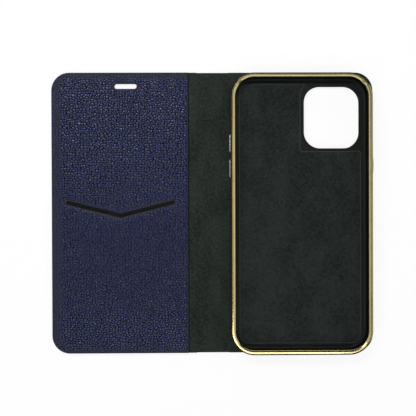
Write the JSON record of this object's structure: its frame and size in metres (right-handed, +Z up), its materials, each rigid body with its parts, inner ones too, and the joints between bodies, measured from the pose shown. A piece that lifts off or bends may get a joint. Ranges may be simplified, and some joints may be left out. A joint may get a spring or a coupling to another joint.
{
  "type": "phone wallet case",
  "caption": "Book-style phone wallet case lying open: leather flap with a card slot, soft creased spine, and a soft tray with a plated rim, camera opening and side buttons.",
  "frame": {"origin": "middle of the open case's footprint, on the surface it lies on", "axes": "+X across the open case from the flap's free edge to the tray, +Y towards the top of the phone, +Z up out of the tray's mouth"},
  "size_m": [0.174, 0.152, 0.0115],
  "materials": {
    "navy_leather": "pebbled grain, satin",
    "black_microfibre": "short napped",
    "black_tpu": "smooth, satin",
    "gold_plating": "bright plated",
    "satin_silver_plating": "satin plated",
    "stiffener_board": "matte sheet",
    "clear_adhesive": "clear film",
    "bare_steel": "bare"
  },
  "bodies": {
    "back": {"back_leather": "navy_leather", "back_board": "stiffener_board", "back_lining": "black_microfibre", "tray_glue": "clear_adhesive", "tray_shell": "black_tpu", "rim_ring": "gold_plating", "tray_pad": "black_microfibre", "catch_plate_upper": "bare_steel", "catch_plate_lower": "bare_steel"},
    "spine": {"spine_leather": "navy_leather", "spine_board": "stiffener_board", "spine_lining": "black_microfibre"},
    "flap": {"flap_leather": "navy_leather", "flap_board": "stiffener_board", "flap_lining": "black_microfibre", "pocket_glue": "clear_adhesive", "pocket_panel": "navy_leather", "closure_magnet_upper": "bare_steel", "closure_magnet_lower": "bare_steel"},
    "volume_up": {"volume_up_button": "satin_silver_plating"},
    "volume_down": {"volume_down_button": "satin_silver_plating"},
    "power": {"power_button": "satin_silver_plating"}
  },
  "joints": [
    {"name": "spine_fold", "type": "hinge", "parent": "back", "child": "spine", "pos_m": [0.0068, 0, 0.0006], "axis": [0, 1, 0], "range_deg": [-90, 90]},
    {"name": "flap_fold", "type": "hinge", "parent": "spine", "child": "flap", "pos_m": [-0.0067, 0, 0.0006], "axis": [0, 1, 0], "range_deg": [-90, 90]},
    {"name": "volume_up_press", "type": "slide", "parent": "back", "child": "volume_up", "axis": [1, 0, 0], "range_m": [0, 0.0003], "stiffness_N_per_m": 800},
    {"name": "volume_down_press", "type": "slide", "parent": "back", "child": "volume_down", "axis": [1, 0, 0], "range_m": [0, 0.0003], "stiffness_N_per_m": 800},
    {"name": "power_press", "type": "slide", "parent": "back", "child": "power", "axis": [-1, 0, 0], "range_m": [0, 0.0003], "stiffness_N_per_m": 800}
  ]
}
